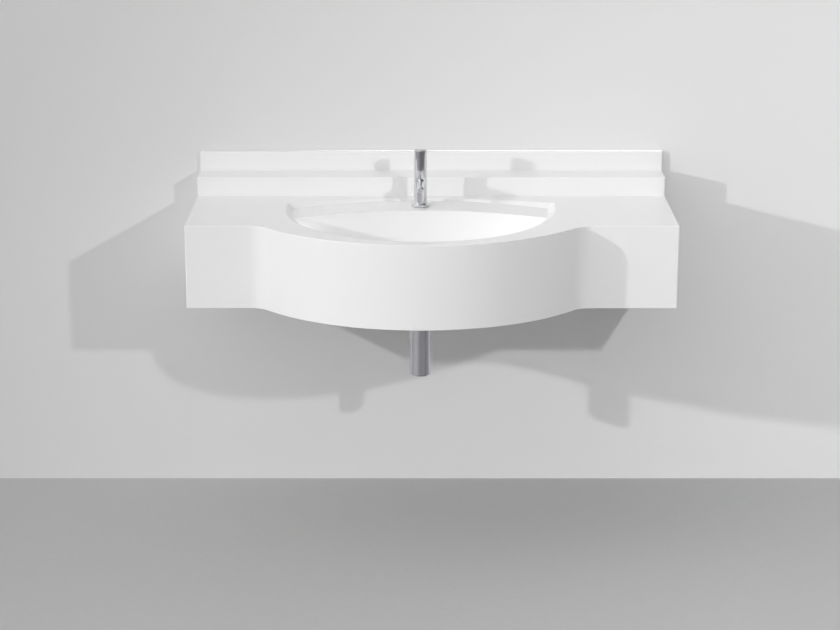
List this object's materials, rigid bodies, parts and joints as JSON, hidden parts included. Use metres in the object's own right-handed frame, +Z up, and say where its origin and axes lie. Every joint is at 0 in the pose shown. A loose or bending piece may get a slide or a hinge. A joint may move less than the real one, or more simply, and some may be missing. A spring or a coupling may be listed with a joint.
{
  "type": "wall-hung basin",
  "caption": "Wall-hung vanity basin in white solid surface: bowed apron, offset bowl, stepped upstand, chrome pillar tap and bottle trap.",
  "frame": {"origin": "on the wall plane at the back of the basin, level with the top of the deck, on the centreline of bowl, tap and trap", "axes": "+X to the right seen from the front, +Y into the wall, -Y towards the user, +Z up"},
  "size_m": [1.3, 0.731, 0.5945],
  "materials": {
    "solid_surface": "white acrylic solid surface, fine-sanded satin",
    "chrome": "polished chrome plate on brass",
    "brass": "bare turned brass",
    "rubber": "black EPDM",
    "steel": "zinc-plated steel",
    "bracket_paint": "light grey powder coat",
    "plywood": "birch plywood",
    "white_plastic": "white acetal"
  },
  "bodies": {
    "basin": {"deck_top": "solid_surface", "bowl_moulding": "solid_surface", "apron_bow": "solid_surface", "apron_wing_left": "solid_surface", "apron_wing_right": "solid_surface", "end_panel_left": "solid_surface", "end_panel_right": "solid_surface", "ledge_front": "solid_surface", "ledge_top": "solid_surface", "ledge_end_left": "solid_surface", "ledge_end_right": "solid_surface", "backsplash": "solid_surface", "deck_batten_left": "plywood", "deck_batten_right": "plywood", "bracket_left": "bracket_paint", "bracket_right": "bracket_paint", "bracket_screws": "steel", "tap_spring": "steel", "tap_clamp_washer": "steel", "tap_body": "chrome", "tap_flange": "chrome", "tap_spout": "chrome", "waste_body": "chrome", "trap_inlet_nut": "chrome", "trap_inlet_tube": "chrome", "trap_height_nut": "chrome", "trap_head": "chrome", "trap_outlet_nut": "chrome", "trap_outlet_pipe": "chrome", "wall_rosette": "chrome", "tap_aerator": "white_plastic", "tap_cartridge": "white_plastic", "tap_shank": "brass", "tap_backnut": "brass", "waste_locknut": "brass", "tap_button_seal": "rubber", "tap_base_seal": "rubber", "tap_clamp_seal": "rubber", "waste_seal_upper": "rubber", "waste_seal_lower": "rubber", "trap_inlet_seal": "rubber", "trap_height_seal": "rubber", "trap_outlet_seal": "rubber"},
    "tap_push_button": {"tap_button": "chrome", "tap_plunger": "brass"},
    "cup_seal_ring": {"trap_cup_seal": "rubber"},
    "bottle_cup": {"trap_cup": "chrome"}
  },
  "joints": [
    {"name": "tap_button_press", "type": "slide", "parent": "basin", "child": "tap_push_button", "axis": [0, 0, -1], "range_m": [0, 0.004], "stiffness_N_per_m": 2500, "springref_m": -0.006, "deforming": ["tap_spring"]},
    {"name": "trap_cup_travel", "type": "slide", "parent": "basin", "child": "cup_seal_ring", "axis": [0, 0, -1], "range_m": [0, 0.009]},
    {"name": "trap_cup_turn", "type": "hinge", "parent": "cup_seal_ring", "child": "bottle_cup", "pos_m": [0, -0.36, -0.37], "axis": [0, 0, -1], "range_deg": [0, 1080]}
  ],
  "couplings": [
    {"joint": "trap_cup_travel", "follows": "trap_cup_turn", "m_per_rad": 0.00047746}
  ]
}
